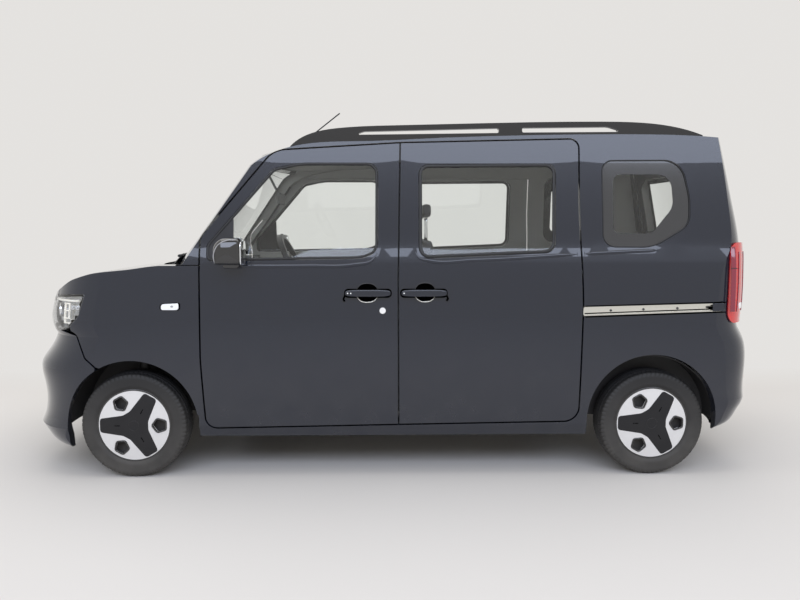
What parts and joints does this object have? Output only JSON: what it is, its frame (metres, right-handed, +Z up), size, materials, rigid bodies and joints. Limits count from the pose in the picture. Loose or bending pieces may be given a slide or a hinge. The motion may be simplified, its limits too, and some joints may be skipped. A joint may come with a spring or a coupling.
{
  "type": "kei-style microvan",
  "caption": "Small tall microvan with hinged front doors, closed sliding rear doors, bonnet, tailgate, steered front wheels, roof rails and a hollow cabin with seats.",
  "frame": {"origin": "on the ground, at the middle of the bounding box seen from above", "axes": "the vehicle faces -X, +Y is its right side, +Z is up"},
  "size_m": [3.7856, 1.85, 1.9128],
  "materials": {
    "body_paint": "gloss black with a blue tint",
    "black_plastic": "grained black",
    "gloss_black": "gloss black",
    "clear_glass": "clear, slightly green",
    "lamp_clear": "clear lens over bright reflectors",
    "lamp_red": "red lens",
    "trim_grey": "grained dark grey",
    "seat_fabric": "grey woven cloth",
    "tyre_rubber": "black rubber",
    "rim_steel": "black painted steel",
    "cover_white": "white cover with a black star",
    "chassis_steel": "black painted steel",
    "cast_metal": "cast",
    "bright_metal": "bright drawn channel",
    "mirror_glass": "mirror"
  },
  "bodies": {
    "body": {"roof_panel": "body_paint", "side_frames": "body_paint", "inner_pillars": "body_paint", "sills": "body_paint", "quarter_panels": "body_paint", "door_tracks": "bright_metal", "tail_lamps": "lamp_red", "front_fenders": "body_paint", "front_bumper": "body_paint", "headlamps": "lamp_clear", "rear_bumper": "body_paint", "windscreen": "clear_glass", "sliding_doors": "body_paint", "side_glass": "clear_glass", "roof_rails": "gloss_black", "front_suspension": "chassis_steel", "wheel_houses": "black_plastic", "floor_pan": "body_paint", "front_bulkhead": "black_plastic", "dashboard": "trim_grey", "seat_cushions": "seat_fabric", "seat_backs": "seat_fabric", "interior_mirror": "black_plastic", "sliding_door_handles": "gloss_black", "rear_axle": "chassis_steel", "rear_springs": "chassis_steel", "battery_pack": "chassis_steel", "drive_motor": "cast_metal", "wipers": "black_plastic", "antenna": "black_plastic", "side_repeaters": "lamp_clear"},
    "front_door_left_body": {"front_door_left": "body_paint", "door_glass_left": "clear_glass", "door_mirror_left": "gloss_black", "door_handle_left": "gloss_black"},
    "knuckle_left_body": {"knuckle_left": "cast_metal"},
    "front_door_right_body": {"front_door_right": "body_paint", "door_glass_right": "clear_glass", "door_mirror_right": "gloss_black", "door_handle_right": "gloss_black"},
    "knuckle_right_body": {"knuckle_right": "cast_metal"},
    "bonnet_body": {"bonnet": "body_paint"},
    "tailgate_body": {"tailgate": "body_paint", "tailgate_glass": "clear_glass"},
    "steering_body": {"steering_wheel": "black_plastic"},
    "wheel_front_left": {"tyre_front_left": "tyre_rubber", "rim_front_left": "rim_steel", "wheel_cover_front_left": "cover_white"},
    "wheel_front_right": {"tyre_front_right": "tyre_rubber", "rim_front_right": "rim_steel", "wheel_cover_front_right": "cover_white"},
    "wheel_rear_left": {"tyre_rear_left": "tyre_rubber", "rim_rear_left": "rim_steel", "wheel_cover_rear_left": "cover_white"},
    "wheel_rear_right": {"tyre_rear_right": "tyre_rubber", "rim_rear_right": "rim_steel", "wheel_cover_rear_right": "cover_white"}
  },
  "joints": [
    {"name": "front_door_left_hinge", "type": "hinge", "parent": "body", "child": "front_door_left_body", "pos_m": [-0.904, -0.758, 0.7], "axis": [0, 0, -1], "range_deg": [0, 65]},
    {"name": "front_door_right_hinge", "type": "hinge", "parent": "body", "child": "front_door_right_body", "pos_m": [-0.904, 0.758, 0.7], "axis": [0, 0, 1], "range_deg": [0, 65]},
    {"name": "bonnet_hinge", "type": "hinge", "parent": "body", "child": "bonnet_body", "pos_m": [-1.12, 0, 1.046], "axis": [0, 1, 0], "range_deg": [0, 50]},
    {"name": "tailgate_hinge", "type": "hinge", "parent": "body", "child": "tailgate_body", "pos_m": [1.655, 0, 1.7], "axis": [0, -1, 0], "range_deg": [0, 80]},
    {"name": "steer_left", "type": "hinge", "parent": "body", "child": "knuckle_left_body", "pos_m": [-1.274, -0.64, 0.266], "axis": [0, 0, 1], "range_deg": [-32, 32]},
    {"name": "steer_right", "type": "hinge", "parent": "body", "child": "knuckle_right_body", "pos_m": [-1.274, 0.64, 0.266], "axis": [0, 0, 1], "range_deg": [-32, 32]},
    {"name": "steering_column", "type": "hinge", "parent": "body", "child": "steering_body", "pos_m": [-0.509, -0.35, 1.045], "axis": [0.8988, 0, 0.4384], "range_deg": [-520, 520]},
    {"name": "wheel_front_left_spin", "type": "hinge", "parent": "knuckle_left_body", "child": "wheel_front_left", "pos_m": [-1.274, -0.6775, 0.266], "axis": [0, 1, 0], "continuous": true},
    {"name": "wheel_front_right_spin", "type": "hinge", "parent": "knuckle_right_body", "child": "wheel_front_right", "pos_m": [-1.274, 0.6775, 0.266], "axis": [0, 1, 0], "continuous": true},
    {"name": "wheel_rear_left_spin", "type": "hinge", "parent": "body", "child": "wheel_rear_left", "pos_m": [1.326, -0.6775, 0.266], "axis": [0, 1, 0], "continuous": true},
    {"name": "wheel_rear_right_spin", "type": "hinge", "parent": "body", "child": "wheel_rear_right", "pos_m": [1.326, 0.6775, 0.266], "axis": [0, 1, 0], "continuous": true}
  ],
  "couplings": [
    {"joint": "steer_right", "follows": "steer_left", "ratio": 1},
    {"joint": "steering_column", "follows": "steer_left", "ratio": 16}
  ]
}
